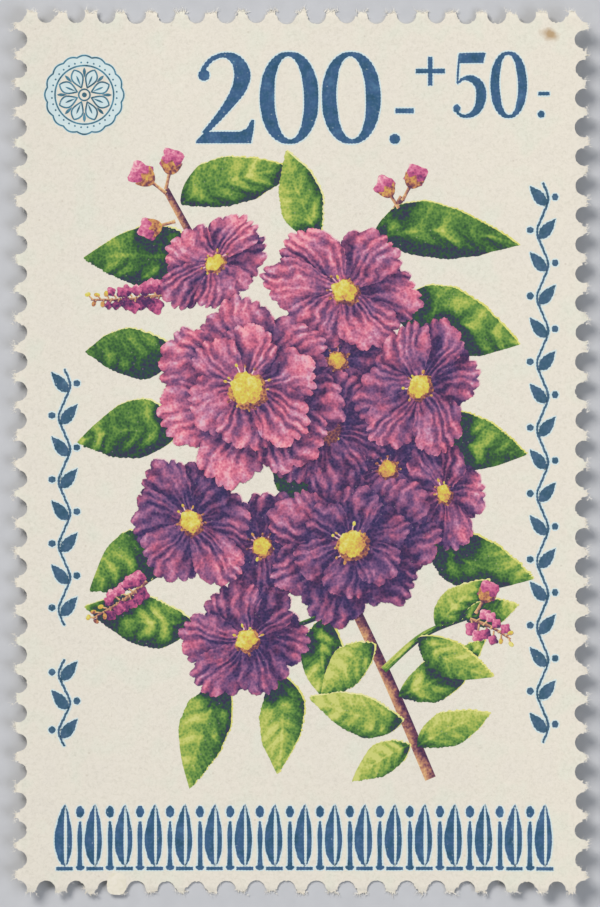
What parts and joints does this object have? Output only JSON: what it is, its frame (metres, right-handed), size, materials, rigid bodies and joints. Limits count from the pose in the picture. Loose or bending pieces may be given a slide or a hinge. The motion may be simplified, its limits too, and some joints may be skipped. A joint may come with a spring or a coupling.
{
  "type": "postage stamp",
  "caption": "Upright rectangular postage stamp: a thin perforated sheet of paper with torn tooth tips and a gummed back, its long edges curling up a little.",
  "frame": {"origin": "middle of the gummed back, on the surface that the stamp rests on", "axes": "+X across the stamp to its right edge, +Y up the stamp to its top edge, +Z out of the printed face"},
  "size_m": [0.0306, 0.047, 0.0014],
  "materials": {
    "stamp_paper": "uncoated cream wove paper, printed in blue, violet, magenta, green and yellow gravure ink",
    "dried_gum": "thin satin film of dried gum with fine cracks"
  },
  "bodies": {
    "root": {"paper_sheet": "stamp_paper", "gum_film": "dried_gum"}
  },
  "joints": []
}
